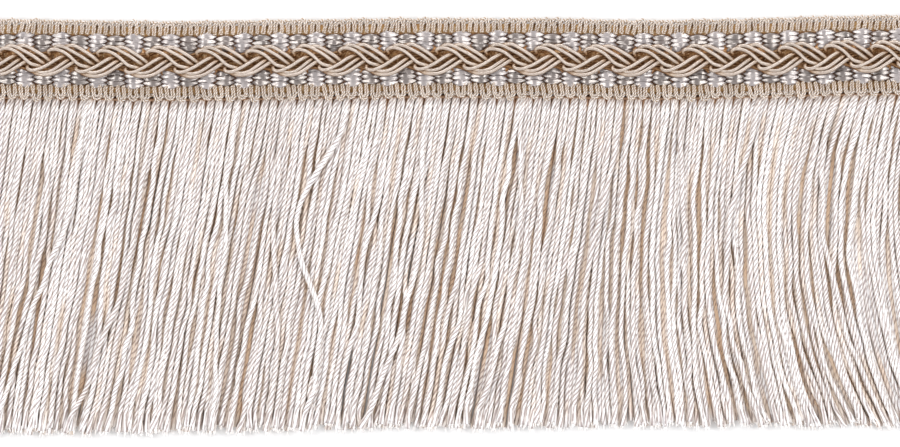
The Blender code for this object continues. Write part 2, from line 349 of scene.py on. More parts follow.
def skin(points, girth, tone=0.5, crown=None):
    """Closed skins over points, an array of tubes by rings by sides by xyz, with flat end caps.

    The UV map holds length along the tube in metres and the share of the girth, plus girth at
    each ring, and counts on from tube to tube, so that no two share a pattern. Depth is how far
    a point lies below its ring's crown height.
    """
    count, rings, sides = points.shape[:3]
    index = np.arange(count * rings * sides).reshape(count, rings, sides)
    after = np.roll(index, -1, axis=2)
    quads = np.stack([index[:, :-1], index[:, 1:], after[:, 1:], after[:, :-1]], axis=-1)
    ends = np.concatenate([index[:, 0], index[:, -1, ::-1]])
    along = lengths_along(points.mean(axis=2))
    share = np.arange(sides + 1) / sides
    u = np.broadcast_to(along[..., None], (count, rings, sides + 1))
    v = (3 * np.arange(count)[:, None] + np.broadcast_to(girth, (count, rings)))[..., None] + share
    uv = np.stack([u, v], axis=-1)
    corners = np.stack([uv[:, :-1, :-1], uv[:, 1:, :-1], uv[:, 1:, 1:], uv[:, :-1, 1:]], axis=-2)
    tone = np.asarray(tone)
    tones = np.broadcast_to(tone if tone.ndim == 3 else tone.reshape(-1, 1, 1),
                            (count, rings, sides))
    if crown is None:
        depth = np.zeros((count, rings, sides))
    else:
        depth = np.broadcast_to(crown, (count, rings))[..., None] - points[..., 2]
    return {"points": points.reshape(-1, 3), "faces": [quads.reshape(-1, 4), ends],
            "uv": [corners.reshape(-1, 2), np.zeros((ends.size, 2))],
            "tone": tones.ravel(), "depth": depth.ravel()}


def tubes(paths, side_radius, up_radius, sides, outline=1.0, turn=0.0, girth=0.0, **looks):
    """Tubes swept along paths, an array of tubes by rings by xyz.

    At a ring with unit tangent T, the side vector is S = T x Z and the up vector is U = S x T.
    The point at angle a is path + outline (side_radius cos(a) S + up_radius sin(a) U), with the
    angles spread evenly and shifted by turn, so a turn that grows along the path twists the
    outline into plies.
    """
    count, rings = paths.shape[:2]
    tangent = unit(np.gradient(paths, axis=1))
    side = unit(np.cross(tangent, (0.0, 0.0, 1.0)))
    up = np.cross(side, tangent)
    spread = 2 * np.pi * np.arange(sides) / sides
    angle = spread + np.broadcast_to(turn, (count, rings))[..., None]
    outline = np.broadcast_to(outline, (sides,))
    reach_side = np.broadcast_to(side_radius, (count, rings))[..., None] * outline
    reach_up = np.broadcast_to(up_radius, (count, rings))[..., None] * outline
    points = (paths[:, :, None] + (reach_side * np.cos(angle))[..., None] * side[:, :, None]
              + (reach_up * np.sin(angle))[..., None] * up[:, :, None])
    return skin(points, girth, **looks)


def add_piece(name, parts, material, replaced=()):
    """One mesh object from one or more skins. It rides on the root body."""
    points = np.concatenate([part["points"] for part in parts])
    first = np.cumsum([0] + [len(part["points"]) for part in parts])
    faces = [block + start for part, start in zip(parts, first) for block in part["faces"]]
    uv = np.concatenate([block for part in parts for block in part["uv"]])
    corners = np.concatenate([block.ravel() for block in faces])
    sizes = np.concatenate([np.full(len(block), block.shape[1]) for block in faces])
    mesh = bpy.data.meshes.new(name)
    mesh.vertices.add(len(points))
    mesh.vertices.foreach_set("co", points.ravel())
    mesh.loops.add(len(corners))
    mesh.loops.foreach_set("vertex_index", corners.astype(np.int32))
    mesh.polygons.add(len(sizes))
    starts = np.concatenate([[0], np.cumsum(sizes)[:-1]])
    mesh.polygons.foreach_set("loop_start", starts.astype(np.int32))
    mesh.uv_layers.new(name="UVMap").data.foreach_set("uv", uv.ravel())
    for channel in ("tone", "depth"):
        layer = mesh.attributes.new(channel, "FLOAT", "POINT")
        layer.data.foreach_set("value", np.concatenate([part[channel] for part in parts]))
    mesh.update(calc_edges=True)
    mesh.validate()
    mesh.shade_smooth()
    mesh.materials.append(material)
    piece = bpy.data.objects.new(name, mesh)
    bpy.context.collection.objects.link(piece)
    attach(piece, "root")
    if replaced:
        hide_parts(*replaced)
    return piece


def new_material(name):
    """A node material: its node tree and its Principled shader."""
    material = bpy.data.materials.new(name)
    material.use_nodes = True
    return material, material.node_tree, material.node_tree.nodes["Principled BSDF"]


def add_node(tree, kind, values=(), **settings):
    """A node with its settings and the default values of some of its inputs."""
    node = tree.nodes.new(kind)
    for name, value in settings.items():
        setattr(node, name, value)
    for socket, value in dict(values).items():
        node.inputs[socket].default_value = value
    return node


def math_node(tree, operation, first, second):
    """The result of a sum on two sockets or numbers."""
    node = tree.nodes.new("ShaderNodeMath")
    node.operation = operation
    for socket, value in zip(node.inputs, (first, second)):
        if isinstance(value, (int, float)):
            socket.default_value = value
        else:
            tree.links.new(value, socket)
    return node.outputs[0]


def ramp(tree, factor, stops):
    """A colour ramp: stops are (position, (r, g, b)) rows."""
    node = tree.nodes.new("ShaderNodeValToRGB")
    elements = node.color_ramp.elements
    while len(elements) < len(stops):
        elements.new(0.5)
    for element, (position, colour) in zip(elements, stops):
        element.position = position
        element.color = (*colour, 1)
    tree.links.new(factor, node.inputs["Fac"])
    return node.outputs["Color"]


def multiply_colour(tree, colour, factor, amount):
    """colour darkened by another colour, by the share amount."""
    node = tree.nodes.new("ShaderNodeMix")
    node.data_type = "RGBA"
    node.blend_type = "MULTIPLY"
    node.inputs["Factor"].default_value = amount
    tree.links.new(colour, node.inputs[6])
    tree.links.new(factor, node.inputs[7])
    return node.outputs[2]


def add_bump(tree, shader, height, distance, strength):
    """Bump from a height socket."""
    node = add_node(tree, "ShaderNodeBump", {"Strength": strength, "Distance": distance})
    tree.links.new(height, node.inputs["Height"])
    tree.links.new(node.outputs["Normal"], shader.inputs["Normal"])


def set_shader(shader, **values):
    """Constant values on the shader's own sockets, named with underscores for blanks."""
    for name, value in values.items():
        shader.inputs[name.replace("_", " ")].default_value = value


def uv_noise(tree, along, around, detail=2.0):
    """Noise stretched over the UV map: so many features in a metre and round the girth."""
    uv = add_node(tree, "ShaderNodeUVMap", uv_map="UVMap")
    stretch = add_node(tree, "ShaderNodeMapping", {"Scale": (along, around, 1)})
    noise = add_node(tree, "ShaderNodeTexNoise", {"Scale": 1.0, "Detail": detail})
    tree.links.new(uv.outputs["UV"], stretch.inputs["Vector"])
    tree.links.new(stretch.outputs["Vector"], noise.inputs["Vector"])
    return noise.outputs["Fac"]


def uv_ridges(tree, axis, count):
    """Ridges across one axis of the UV map, from -1 to 1, with a crest at zero: so many in a
    metre or round the girth."""
    uv = add_node(tree, "ShaderNodeUVMap", uv_map="UVMap")
    split = tree.nodes.new("ShaderNodeSeparateXYZ")
    tree.links.new(uv.outputs["UV"], split.inputs["Vector"])
    turns = math_node(tree, "MULTIPLY", split.outputs[axis], 2 * np.pi * count)
    return math_node(tree, "COSINE", turns, 0.0)


def attribute(tree, name):
    """The value of a named attribute."""
    return add_node(tree, "ShaderNodeAttribute", attribute_name=name).outputs["Fac"]


def attribute_ramp(tree, name, full, stops):
    """Colour by a named attribute, whose value full is the ramp's right end."""
    return ramp(tree, math_node(tree, "DIVIDE", attribute(tree, name), full), stops)


def cream_yarn():
    """Skirt yarn: near white on the crests of its plies, with painted shade greyish brown in their
    grooves, and painted shade tan, then dark brown, the deeper a place lies between the cords
    around it. The painted groove shade fades with that depth."""
    material, tree, shader = new_material("cream_yarn")
    # painted shade: tan, then dark brown, the deeper a place lies below the crown of the pile
    painted_depth_shade = attribute_ramp(tree, "depth", PILE_DEPTH, (
        (0.000, (0.78, 0.775, 0.785)), (0.025, (0.78, 0.772, 0.775)),
        (0.060, (0.77, 0.735, 0.71)), (0.110, (0.77, 0.70, 0.64)), (0.200, (0.74, 0.64, 0.55)),
        (0.300, (0.77, 0.61, 0.46)), (0.500, (0.83, 0.58, 0.38)), (0.750, (0.42, 0.24, 0.13)),
        (1.000, (0.24, 0.13, 0.07))))
    cord = attribute_ramp(tree, "tone", 1.0, ((0, (0.92, 0.89, 0.87)), (1, (1, 1, 1))))
    # painted shade in the ply grooves, weaker on pale cords and at depth
    paleness = math_node(tree, "MULTIPLY", uv_ridges(tree, "Y", PLIES), PALE_BY_PLY)
    for added in (uv_noise(tree, 700, 2, 1.0),
                  math_node(tree, "MULTIPLY", attribute(tree, "tone"), PALE_BY_CORD),
                  math_node(tree, "MULTIPLY", attribute(tree, "depth"), PALE_BY_DEPTH)):
        paleness = math_node(tree, "ADD", paleness, added)
    groove_shade = ramp(tree, paleness, ((0.31, (0.41, 0.34, 0.33)), (0.56, (1, 1, 1))))
    fibre = ramp(tree, uv_noise(tree, 700, 14), ((0.3, (0.88, 0.86, 0.85)), (0.6, (1, 1, 1))))
    colour = multiply_colour(tree, painted_depth_shade, cord, 1.0)
    colour = multiply_colour(tree, colour, groove_shade, 0.9)
    tree.links.new(multiply_colour(tree, colour, fibre, 0.8), shader.inputs["Base Color"])
    set_shader(shader, Roughness=0.42, Sheen_Weight=0.1, Sheen_Roughness=0.4)
    add_bump(tree, shader, uv_noise(tree, 500, 40), 0.05 * MM, 0.5)
    return material


def cream_fibre():
    """Loose fibres at the cut ends."""
    material, _, shader = new_material("cream_fibre")
    set_shader(shader, Base_Color=(0.90, 0.87, 0.85, 1), Roughness=0.5)
    return material


def satin_cord():
    """Plait cord: beige satin wound round a core, each winding a fine ridge. Its colour and its
    gloss turn brown down its flanks and where the cord dives between the others: painted shade."""
    material, tree, shader = new_material("satin_cord")
    cord = attribute_ramp(tree, "tone", 1.0, (
        (0, (0.205, 0.143, 0.100)), (1, (0.295, 0.218, 0.165))))
    # painted shade: brown down the flanks and where the cord dives under the others
    painted_depth_shade = attribute_ramp(tree, "depth", PLAIT_DEPTH, (
        (0.11, (1, 1, 1)), (0.24, (0.60, 0.40, 0.23)), (0.42, (0.34, 0.16, 0.06))))
    # painted shade in the reflection too: its tint browns the same way
    painted_gloss_shade = attribute_ramp(tree, "depth", PLAIT_DEPTH, (
        (0.02, (1, 0.97, 0.94)), (0.07, (0.93, 0.82, 0.71)), (0.14, (0.70, 0.54, 0.39)),
        (0.36, (0.46, 0.30, 0.16))))
    streak = ramp(tree, uv_noise(tree, 2500, 4), ((0.3, (0.75, 0.70, 0.66)), (0.65, (1, 1, 1))))
    colour = multiply_colour(tree, cord, painted_depth_shade, 1.0)
    tree.links.new(multiply_colour(tree, colour, streak, 0.7), shader.inputs["Base Color"])
    tree.links.new(painted_gloss_shade, shader.inputs["Specular Tint"])
    set_shader(shader, Roughness=0.15, IOR=2.6)
    add_bump(tree, shader, uv_ridges(tree, "X", 1 / (0.30 * MM)), 0.03 * MM, 0.5)
    return material


def crepe_cord():
    """Gimp cord: cream and old gold crepe, with painted shade in the grooves of its plies and
    warmer, darker painted shade the lower a place lies below the crown.
    """
    material, tree, shader = new_material("crepe_cord")
    cord = attribute_ramp(tree, "tone", 1.0, ((0, (0.65, 0.625, 0.62)), (1, (0.77, 0.745, 0.745))))
    # painted shade in the ply grooves
    groove_shade = ramp(tree, uv_ridges(tree, "Y", 2), ((0.0, (0.48, 0.37, 0.26)), (0.5, (1, 1, 1))))
    # painted shade, warmer and darker the lower a place lies below the crown
    painted_depth_shade = attribute_ramp(tree, "depth", GIMP_DEPTH, (
        (0.10, (1, 1, 1)), (0.30, (0.95, 0.92, 0.89)), (0.50, (0.91, 0.84, 0.74)),
        (0.80, (0.79, 0.65, 0.47))))
    colour = multiply_colour(tree, multiply_colour(tree, cord, groove_shade, 1.0), painted_depth_shade, 1.0)
    fleck = ramp(tree, uv_noise(tree, 3500, 3), ((0.35, (0.68, 0.56, 0.42)), (0.6, (1, 1, 1))))
    tree.links.new(multiply_colour(tree, colour, fleck, 0.5), shader.inputs["Base Color"])
    set_shader(shader, Roughness=0.45, Specular_IOR_Level=0.35)
    add_bump(tree, shader, uv_noise(tree, 5000, 6), 0.05 * MM, 0.5)
    return material


def satin_float(name, dark, light):
    """Weft float: loose satin filaments side by side."""
    material, tree, shader = new_material(name)
    cord = attribute_ramp(tree, "tone", 1.0, ((0, dark), (1, light)))
    streak = ramp(tree, uv_noise(tree, 150, 26), ((0.3, (0.72, 0.70, 0.70)), (0.65, (1, 1, 1))))
    tree.links.new(multiply_colour(tree, cord, streak, 0.8), shader.inputs["Base Color"])
    set_shader(shader, Roughness=0.28, IOR=2.0, Specular_IOR_Level=0.9,
               Specular_Tint=(1, 0.92, 0.86, 1), Coat_Weight=0.3, Coat_Roughness=0.2)
    add_bump(tree, shader, uv_noise(tree, 420, 12, 1.0), 0.16 * MM, 0.6)
    return material


def ground_cloth():
    """The tape's ground: gold crepe under the gimps and the plait, with darker blotches of painted
    shade under the plait, and dark brown under the floats. Its picks and warps cross as small
    humps, with painted shade in the hollows between them."""
    material, tree, shader = new_material("ground_cloth")
    place = tree.nodes.new("ShaderNodeTexCoord").outputs["Object"]
    band = attribute_ramp(tree, "tone", 1.0, (
        (0.30, (1.0, 0.74, 0.48)), (0.40, (0.32, 0.21, 0.16)),
        (0.70, (0.32, 0.21, 0.16)), (0.77, (1.0, 0.79, 0.50)), (0.98, (1.0, 0.77, 0.44)),
        (1.00, (0.72, 0.61, 0.48))))
    crumb = add_node(tree, "ShaderNodeTexVoronoi", {"Scale": 1 / (0.55 * MM)})
    blotch = add_node(tree, "ShaderNodeTexNoise", {"Scale": 1 / (0.75 * MM), "Detail": 1.0})
    for texture in (crumb, blotch):
        tree.links.new(place, texture.inputs["Vector"])
    distance = crumb.outputs["Distance"]
    # the crepe's small humps, with painted shade in the hollows between them
    crumbs_and_shade = ramp(tree, distance, ((0.12, (1, 1, 1)), (0.42, (0.50, 0.36, 0.24))))
    # painted shade under the plait, broken into random blotches
    inside = math_node(tree, "LESS_THAN", attribute(tree, "tone"), 0.36)
    plait_shade_blotches = ramp(tree, math_node(tree, "MULTIPLY", inside, blotch.outputs["Fac"]),
                 ((0.42, (1, 1, 1)), (0.52, (0.58, 0.48, 0.40))))
    colour = multiply_colour(tree, multiply_colour(tree, band, crumbs_and_shade, 1.0), plait_shade_blotches, 1.0)
    tree.links.new(colour, shader.inputs["Base Color"])
    set_shader(shader, Roughness=0.6, Specular_IOR_Level=0.1)
    add_bump(tree, shader, math_node(tree, "MULTIPLY", distance, -1.0), 0.3 * MM, 0.8)
    return material


def build_tape():
    """Ground cloth: a closed flat band whose section, a little padded under the plait, is
    carried along the bowed heading."""
    x = np.linspace(-HALF_LENGTH, HALF_LENGTH, TAPE_RINGS + 1)
    across, height = np.array(TAPE_SECTION).T * MM
    across, height = across[::-1], height[::-1]
    y = across + lie("bow", x)[:, None]
    points = np.stack([x[:, None] + 0 * y, y, height + 0 * y], axis=-1)
    return skin(points[None], 0.0, tone=np.abs(across)[None, None] / TAPE_HALF_WIDTH)


def plait_cords(strand):
    """Places of a strand's three cords: smooth curves through their rows in PLAIT_PATHS, which
    are shifted by one wave after another."""
    begin = PLAIT_FIRST_CREST - PLAIT_LEAD - strand * PLAIT_WAVE / PLAIT_STRANDS
    waves = np.arange(-2, 8) * PLAIT_WAVE
    for rows in PLAIT_PATHS:
        path = np.array(rows) * (MM, MM, PLAIT_LIFT)
        knots = (path + waves[:, None, None] * (1, 0, 0)).reshape(-1, 3)
        reach = np.cumsum(np.linalg.norm(np.diff(knots, axis=0, prepend=knots[:1]), axis=1))
        x, y, z = curve(reach, knots.T, np.arange(0, reach[-1], PLAIT_STEP))
        x = x + begin
        x = x + lie("slip", x)
        inside = np.flatnonzero(np.abs(x) <= HALF_LENGTH)
        yield [column[inside[0]:inside[-1] + 1] for column in (x, y, z)]


def under_plait(x, y):
    """Share by which places lie inside the plait's outline: 0 at its outermost cords' middle
    lines and 1 from OUTLINE_EASE inwards. The outline is the greatest and the least y of all
    cords in each step along the trim."""
    steps = np.arange(-HALF_LENGTH, HALF_LENGTH + OUTLINE_STEP, OUTLINE_STEP)
    upper, lower = np.zeros(len(steps)), np.zeros(len(steps))
    for strand in range(PLAIT_STRANDS):
        for cord_x, cord_y, _ in plait_cords(strand):
            nearest = np.rint((cord_x + HALF_LENGTH) / OUTLINE_STEP).astype(int)
            np.maximum.at(upper, nearest, cord_y)
            np.minimum.at(lower, nearest, cord_y)
    inside = np.minimum(np.interp(x, steps, upper) - y, y - np.interp(x, steps, lower))
    return ease(inside / OUTLINE_EASE)


def build_floats(parity, rng):
    """Satin floats of every second weft block, as lens-shaped tubes along X.

    Along a float, with w from -1 to 1, its height falls from the middle, off centre by a little,
    as sqrt(w^2 + flat^2), so the middle is flat over about that share and both ends fall at
    FLOAT_SLOPE. Its half width is (1 - FLOAT_NARROWS |w|^2.4) and its half thickness
    (1 - w^6)^0.5 of the full ones, so both ends dive between the warps. Rows of neighbouring
    blocks are staggered by half a row. Under the plait the floats sink by FLOAT_SINK.
    """
    blocks = np.arange(parity, REPEATS, 2)
    rows = np.concatenate([first * MM + FLOAT_ROW * (stagger * parity - np.arange(FLOAT_ROWS))
                           for first, stagger in FLOAT_FIELDS])
    w = np.sin(np.pi / 2 * np.linspace(-FLOAT_END, FLOAT_END, FLOAT_RINGS))
    middle = -HALF_LENGTH + REPEAT * (blocks + 0.5)
    half_length = REPEAT / 2 + FLOAT_OVERLAP
    x = middle[:, None, None] + half_length * w
    count = (len(blocks), len(rows))
    y = rows[:, None] + rng.normal(0, FLOAT_SHIFT, count)[..., None] + lie("bow", x)
    y = y + rng.normal(0, FLOAT_TILT, count)[..., None] * w
    flat = rng.uniform(*FLOAT_FLATS, count)[..., None]
    off_centre = w - rng.uniform(*FLOAT_MIDDLES, count)[..., None] * (1 - w**2)
    fall = np.hypot(off_centre, flat) - np.hypot(1, flat)
    z = FACE - FLOAT_DEPTH - FLOAT_SLOPE * half_length * fall + 0 * y
    z = z - FLOAT_SINK * under_plait(x, y - lie("bow", x))
    paths = np.stack([x + 0 * y, y, z], axis=-1).reshape(-1, FLOAT_RINGS, 3)
    plump = rng.uniform(*FLOAT_GIRTHS, (len(paths), 1))
    return tubes(paths, FLOAT_HALF_WIDTH * plump * (1 - FLOAT_NARROWS * np.abs(w) ** 2.4),
                 FLOAT_THICKNESS * plump * (1 - w**6) ** 0.5, FLOAT_SIDES,
                 tone=rng.uniform(0, 1, len(paths)))


def notched(x):
    """Share by which a place along the trim lies at a notch between two groups of the skirt:
    1 - |cos(pi x / REPEAT)|."""
    return 1 - np.abs(np.cos(np.pi * x / REPEAT))


def loop_paths(foot, shoulder, tip, notch, rng):
    """One closed loop of thin cord for each pitch. Its middle line is an arch: a straight leg,
    half an ellipse and a straight leg. The cord runs at LOOP_HALF beside that line, round its
    end in half a circle, back along its other side and round its beginning. The ellipse is
    lower by up to notch where the skirt has a notch.

    Gives x, y, the share of the leg from foot to shoulder and the length along the cord.
    """
    arches = int(2 * HALF_LENGTH / ARCH_PITCH)
    centre = (np.arange(arches) - (arches - 1) / 2) * ARCH_PITCH
    centre += ARCH_PHASE - ARCH_PITCH * np.round(ARCH_PHASE / ARCH_PITCH)
    centre = centre[np.abs(centre) < HALF_LENGTH - ARCH_HALF - LOOP_HALF]
    leg = abs(shoulder - foot)
    bend = np.pi / 2 * (ARCH_HALF + abs(tip - shoulder))
    line = 2 * leg + bend
    cap = np.pi * LOOP_HALF
    rings = int(2 * (line + cap) / CREPE_STEP)
    s = np.linspace(0, 2 * (line + cap), rings)
    place = np.clip(s, 0, line) - np.clip(s - line - cap, 0, line)
    turned = np.pi * (np.clip((s - line) / cap, 0, 1) + np.clip((s - 2 * line - cap) / cap, 0, 1))
    count = (len(centre), 1)
    half = ARCH_HALF * rng.uniform(*ARCH_WIDTHS, count)
    tilt = rng.normal(0, ARCH_TILT, count) + ARCH_LEAN * rng.uniform(0, 1, count)
    reach = (tip - shoulder) * rng.uniform(*ARCH_REACHES, count)
    reach = reach * (1 - notch / abs(tip - shoulder) * notched(centre[:, None]))

    def arch(at):
        turn = np.pi * np.clip((at - leg) / bend, 0, 1)
        rise = np.minimum(at, np.minimum(leg, line - at)) / leg
        x = centre[:, None] - half * np.cos(turn) + tilt * rise
        return np.stack([x, foot + (shoulder - foot) * rise + reach * np.sin(turn)], axis=-1)

    along = unit(arch(place + 0.01 * MM) - arch(place - 0.01 * MM))
    beside = np.stack([-along[..., 1], along[..., 0]], axis=-1)
    spot = arch(place) + LOOP_HALF * (np.cos(turned)[:, None] * beside
                                      + np.sin(turned)[:, None] * along)
    knots = np.arange(0, s[-1] + CRINKLE_STEP, CRINKLE_STEP)
    x = spot[..., 0] + curve(knots, rng.normal(0, CRINKLE, (len(centre), len(knots))), s)
    y = spot[..., 1] + curve(knots, rng.normal(0, CRINKLE, (len(centre), len(knots))), s)
    return x, y + lie("bow", x), np.clip(np.minimum(place, line - place) / leg, 0, 1), s


def build_gimp(row, rng):
    """Loops of crepe cord: two round plies, turning once in CREPE_LAY, that rise from foot to
    shoulder. The chain, a thicker cord in gentle waves, runs along the gimp beneath them; at a
    notch it steps back and grows thinner."""
    foot, shoulder, tip, chain, notch = np.array(row[1:]) * MM
    sides = len(CREPE_OUTLINE)
    x, y, out, s = loop_paths(foot, shoulder, tip, notch, rng)
    z = FACE + CREPE_RADIUS * (LOOP_LOW + LOOP_RISE * out) + 0 * x
    paths = np.stack([x, y, z], axis=-1)
    parts = [tubes(paths, CREPE_RADIUS, CREPE_RADIUS, sides, outline=CREPE_OUTLINE,
                   turn=-2 * np.pi * s / CREPE_LAY, tone=rng.uniform(0, 1, len(paths)),
                   crown=CREPE_CROWN)]
    x = np.arange(-HALF_LENGTH, HALF_LENGTH, CREPE_STEP)
    y = chain + CHAIN_WAVE * np.sin(2 * np.pi * x / ARCH_PITCH) + lie("bow", x)
    y = y - np.sign(chain) * notch * notched(x)
    radius = CHAIN_RADIUS * (1 - CHAIN_THINS * notch * notched(x))
    path = np.stack([x, y, FACE - CHAIN_DEPTH + 0 * x], axis=-1)[None]
    parts.append(tubes(path, radius, radius, sides, outline=CREPE_OUTLINE,
                       turn=-2 * np.pi * x / CREPE_LAY, crown=CHAIN_CROWN))
    return parts


def build_plait_strand(strand, rng):
    """Three cords side by side, each with a slow random drift of its own."""
    knots = np.linspace(-HALF_LENGTH, HALF_LENGTH, PLAIT_DRIFT_KNOTS)
    parts = []
    for x, y, z in plait_cords(strand):
        y = y + curve(knots, rng.normal(0, PLAIT_DRIFT, len(knots)), x) + lie("bow", x)
        parts.append(tubes(np.stack([x, y, PLAIT_MIDDLE + z], axis=-1)[None], PLAIT_CORD_RADIUS,
                           PLAIT_CORD_RADIUS, PLAIT_SIDES, tone=rng.uniform(*PLAIT_TONES),
                           crown=PLAIT_MIDDLE + PLAIT_LIFT + PLAIT_CORD_RADIUS))
    return parts


def spread_apart(x, least):
    """The places nearest to x, in the same order, that are at least this far apart: crowded
    cords are pooled, and each pool lies about the mean of its cords' places."""
    steps = least * np.arange(len(x))
    means, counts = [], []
    for place in x - steps:
        means.append(place)
        counts.append(1)
        while len(means) > 1 and means[-2] > means[-1]:
            mean, count = means.pop(), counts.pop()
            means[-1] = (means[-1] * counts[-1] + mean * count) / (counts[-1] + count)
            counts[-1] += count
    return np.repeat(means, counts) + steps


def smooth(values, width):
    """Running mean along the last axis, with the ends held."""
    padded = np.pad(values, ((0, 0), (width // 2, width // 2)), mode="edge")
    sums = np.cumsum(np.pad(padded, ((0, 0), (1, 0))), axis=1)
    return (sums[:, width:] - sums[:, :-width]) / width


def rest_on(x, beneath):
    """Heights of cords at x that rest on the cords beneath them, or on the floor.

    Beside a cord whose centre is dx away, a cord rests at that cord's height plus
    sqrt(CONTACT^2 - dx^2). The highest such rest counts, and it is eased along the cord.
    """
    height = np.full(x.shape, CORD_RADIUS)
    for other_x, other_z in beneath:
        lift = CONTACT**2 - (x[:, None] - other_x[None]) ** 2
        rest = np.where(lift > 0, other_z[None] + np.sqrt(np.maximum(lift, 0)), CORD_RADIUS)
        height = np.maximum(height, rest.max(axis=1))
    return smooth(smooth(height, WIDE_MEAN), NARROW_MEAN)


def valley_crown(x, z, all_x, all_z):
    """Height of the pile around each cord: the lower of the highest cords within VALLEY_REACH on
    its two sides, or the cord itself, plus a radius."""
    apart = all_x[None] - x[:, None]
    sides = [np.where((way * apart > 0) & (way * apart < VALLEY_REACH), all_z[None], 0).max(axis=1)
             for way in (-1, 1)]
    return smooth(np.maximum(z, np.minimum(*sides)) + CORD_RADIUS, WIDE_MEAN)


def cord_wander(count, amount, share, rng):
    """Sideways wander of each cord: a random walk over WANDER_KNOTS and a small free wiggle,
    both read as smooth curves."""
    steps = rng.standard_normal((count, len(WANDER_KNOTS))) * WANDER_STEPS * amount
    knots = np.linspace(0, 1, WIGGLE_KNOTS)
    wiggle = rng.normal(0, WIGGLE * min(amount, 1), (count, WIGGLE_KNOTS))
    wiggle = wiggle * (0.5 + 0.5 * knots) * ease(knots / WIGGLE_BY)
    return (curve(WANDER_KNOTS, np.cumsum(steps, axis=1), share)
            + curve(knots, wiggle, share))


def skirt_layout(rng):
    """Places of all skirt cords: for each row, x, y, z and crown arrays of cords by levels.

    A cord starts at its root in its group, spreads to an even spacing, sways and wanders, and
    rests on the rows beneath it. Near the roots all heights are pressed down.
    """
    share = np.linspace(0, 1, SKIRT_LEVELS)
    centres = (np.arange(GROUPS) - (GROUPS - 1) / 2) * REPEAT
    strays = table(STRAY_COLUMNS, STRAY_ROWS)
    stray_root = centres[strays["group"]] + (strays["cord"] - 1) * STRAY_SPACING
    pressed = PRESSED + (1 - PRESSED) * ease(share / PRESSED_TO)
    places, beneath = {}, []
    for name, offsets, spacing, least, wander, _, _ in SKIRT_ROWS:
        root = (centres[:, None] + np.array(offsets) * spacing * MM).ravel()
        even = (centres[:, None] + np.array(offsets) * EVEN_SPACING).ravel()
        if name == "back":
            root = np.sort(np.concatenate([root, centres[centres > FANNED_OUT]]))
            even = root
        uneven = rng.normal(0, UNEVEN_SPACING, len(even)) * min(wander, 1)
        x = (root[:, None] + (even - root)[:, None] * ease(share / SPREAD_BY)
             + uneven[:, None] * ease(share / UNEVEN_BY) + sway(root[:, None], share)
             + cord_wander(len(root), wander, share, rng))
        x = np.array([spread_apart(level, least * MM) for level in x.T]).T
        x = smooth(x, NARROW_MEAN)
        z = rest_on(x, beneath) * pressed
        beneath.append((x, z))
        places[name] = (root, x, z)
    carried = np.array([[0, 0, *row[2:]] for row in STRAY_ROWS]) * MM
    x = (stray_root[:, None] + sway(stray_root[:, None], share)
         + cord_wander(len(stray_root), 1.0, share, rng) + curve(STRAY_LEVELS, carried, share))
    places["stray"] = (stray_root, x, rest_on(x, beneath) * pressed)
    all_x = np.concatenate([place[1] for place in places.values()])
    all_z = np.concatenate([place[2] for place in places.values()])
    rows = {}
    for name, (root, x, z) in places.items():
        tip = lie("tip", root) + TIP_UNEVENNESS * rng.uniform(-1, 1, len(root))
        y = (ROOT_Y + lie("bow", root))[:, None] * (1 - share) + tip[:, None] * share
        crown = valley_crown(x, z, all_x, all_z)
        # The crown sets the yarn's painted shade: less of it towards the cut ends, more at the
        # roots under the gimp, more still at the back row's roots
        bared = TIP_BARED * ease((share - TIP_BARED_FROM) / (1 - TIP_BARED_FROM))
        crown = crown - (crown - z - CORD_RADIUS) * bared
        crown = crown + ROOT_SHADE * (1 - ease(share / ROOT_SHADED_TO))
        if name == "back":
            crown = crown + BACK_ROOT_SHADE * (1 - ease(share / BACK_ROOT_SHADED_TO))
        rows[name] = np.stack([x, y, z, crown], axis=-1)
    return rows


def twisted_cords(places, every, sides, rng):
    """Four-ply cords, turning once in about CORD_LAY, unevenly. Over OPEN_LENGTH before the cut
    end they turn less, by OPEN_PLIES, as the plies open there.

    With eight sides the outline has crests and grooves in turn, and each ply runs down the cord
    as a raised helix. With fewer the cord is round and the helix is left to the UV map, whose
    girth grows with the length instead.
    """
    paths, crown = places[:, ::every, :3], places[:, ::every, 3]
    along = lengths_along(paths)
    opened = OPEN_PLIES * np.maximum(along - along[:, -1:] + OPEN_LENGTH, 0)
    cords = (len(paths), 1)
    start = rng.uniform(0, 1, cords)
    turns = start + (along - opened) / (CORD_LAY * rng.uniform(*LAY_SHARES, cords))
    knots = np.linspace(0, 1, TWIST_KNOTS)
    share = np.linspace(0, 1, paths.shape[1])
    cord_knots = (len(paths), TWIST_KNOTS)
    turns = turns + curve(knots, rng.normal(0, TWIST_UNEVENNESS, cord_knots), share)
    radius = CORD_RADIUS * rng.uniform(*CORD_GIRTHS, cords) * (
        1 + curve(knots, rng.normal(0, GIRTH_UNEVENNESS, cord_knots), share)
        + TIP_FLARE * ease((share - FLARED_FROM) / (1 - FLARED_FROM))
        - ROOT_SQUEEZE * (1 - ease(share / SQUEEZED_TO)))
    looks = {"tone": rng.uniform(0, 1, len(paths)), "crown": crown}
    if sides == 2 * PLIES:
        return tubes(paths, radius, radius, sides, outline=(1, PLY_GROOVE) * PLIES,
                     turn=-2 * np.pi * turns, **looks)
    return tubes(paths, ROUND_GIRTH * radius, ROUND_GIRTH * radius, sides, girth=turns, **looks)


